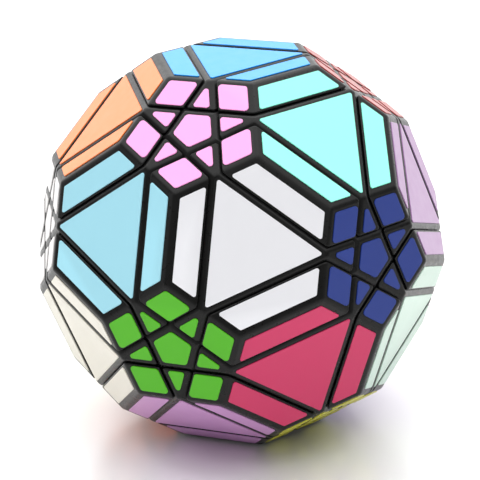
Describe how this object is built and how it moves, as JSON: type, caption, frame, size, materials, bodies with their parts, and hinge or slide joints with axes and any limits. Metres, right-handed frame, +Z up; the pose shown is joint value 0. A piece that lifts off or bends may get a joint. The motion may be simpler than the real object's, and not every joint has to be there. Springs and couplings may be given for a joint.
{
  "type": "dodecahedron twisty puzzle",
  "caption": "Ball-shaped corner-turning dodecahedron puzzle of black plastic with coloured vinyl stickers; its layers turn in third-turns about the hexagon faces.",
  "frame": {"origin": "middle of the ball, where all turning axes meet", "axes": "+Z up along one hexagon axis, so the ball rests on the opposite hexagon face; -Y towards the side of the front hexagon, whose normal is 19.5 degrees above level in the x = 0 plane; +X to the right seen from the front"},
  "size_m": [0.0854, 0.0868, 0.0804],
  "materials": {
    "black_plastic": "moulded black ABS, satin with soft highlights on the rounded rims",
    "core_plastic": "moulded ABS, matt white",
    "steel": "zinc-plated steel screws, washers and springs",
    "sticker_vinyl": "smooth vinyl stickers, one colour for each of the 32 faces, given by the visual model"
  },
  "bodies": {
    "root": {"caps_other": "black_plastic", "centres": "black_plastic", "core_lower_half": "core_plastic", "core_upper_half": "core_plastic", "corner_09": "black_plastic", "corner_10": "black_plastic", "corner_11": "black_plastic", "corner_12": "black_plastic", "corner_13": "black_plastic", "corner_14": "black_plastic", "corner_15": "black_plastic", "corner_16": "black_plastic", "corner_17": "black_plastic", "corner_18": "black_plastic", "corner_19": "black_plastic", "corner_20": "black_plastic", "edge_25": "black_plastic", "edge_26": "black_plastic", "edge_27": "black_plastic", "edge_28": "black_plastic", "edge_29": "black_plastic", "edge_30": "black_plastic", "screws": "steel", "springs": "steel", "stickers_other": "sticker_vinyl", "washers": "steel"},
    "layer_top": {"corner_top": "black_plastic", "cap_top": "black_plastic", "edges_top": "black_plastic", "stickers_top": "sticker_vinyl"},
    "layer_front": {"corner_front": "black_plastic", "cap_front": "black_plastic", "edges_front": "black_plastic", "stickers_front": "sticker_vinyl"},
    "layer_rear_right": {"corner_rear_right": "black_plastic", "cap_rear_right": "black_plastic", "edges_rear_right": "black_plastic", "stickers_rear_right": "sticker_vinyl"},
    "layer_rear_left": {"corner_rear_left": "black_plastic", "cap_rear_left": "black_plastic", "edges_rear_left": "black_plastic", "stickers_rear_left": "sticker_vinyl"},
    "layer_low_right": {"corner_low_right": "black_plastic", "cap_low_right": "black_plastic", "edges_low_right": "black_plastic", "stickers_low_right": "sticker_vinyl"},
    "layer_low_rear": {"corner_low_rear": "black_plastic", "cap_low_rear": "black_plastic", "edges_low_rear": "black_plastic", "stickers_low_rear": "sticker_vinyl"},
    "layer_low_left": {"corner_low_left": "black_plastic", "cap_low_left": "black_plastic", "edges_low_left": "black_plastic", "stickers_low_left": "sticker_vinyl"},
    "layer_bottom": {"corner_bottom": "black_plastic", "cap_bottom": "black_plastic", "edges_bottom": "black_plastic", "stickers_bottom": "sticker_vinyl"}
  },
  "joints": [
    {"name": "turn_top", "type": "hinge", "parent": "root", "child": "layer_top", "pos_m": [0, 0, 0], "axis": [0, 0, 1], "continuous": true},
    {"name": "turn_front", "type": "hinge", "parent": "root", "child": "layer_front", "pos_m": [0, 0, 0], "axis": [0, -0.9428, 0.3333], "continuous": true},
    {"name": "turn_rear_right", "type": "hinge", "parent": "root", "child": "layer_rear_right", "pos_m": [0, 0, 0], "axis": [0.8165, 0.4714, 0.3333], "continuous": true},
    {"name": "turn_rear_left", "type": "hinge", "parent": "root", "child": "layer_rear_left", "pos_m": [0, 0, 0], "axis": [-0.8165, 0.4714, 0.3333], "continuous": true},
    {"name": "turn_low_right", "type": "hinge", "parent": "root", "child": "layer_low_right", "pos_m": [0, 0, 0], "axis": [0.8165, -0.4714, -0.3333], "continuous": true},
    {"name": "turn_low_rear", "type": "hinge", "parent": "root", "child": "layer_low_rear", "pos_m": [0, 0, 0], "axis": [0, 0.9428, -0.3333], "continuous": true},
    {"name": "turn_low_left", "type": "hinge", "parent": "root", "child": "layer_low_left", "pos_m": [0, 0, 0], "axis": [-0.8165, -0.4714, -0.3333], "continuous": true},
    {"name": "turn_bottom", "type": "hinge", "parent": "root", "child": "layer_bottom", "pos_m": [0, 0, 0], "axis": [0, 0, -1], "continuous": true}
  ]
}
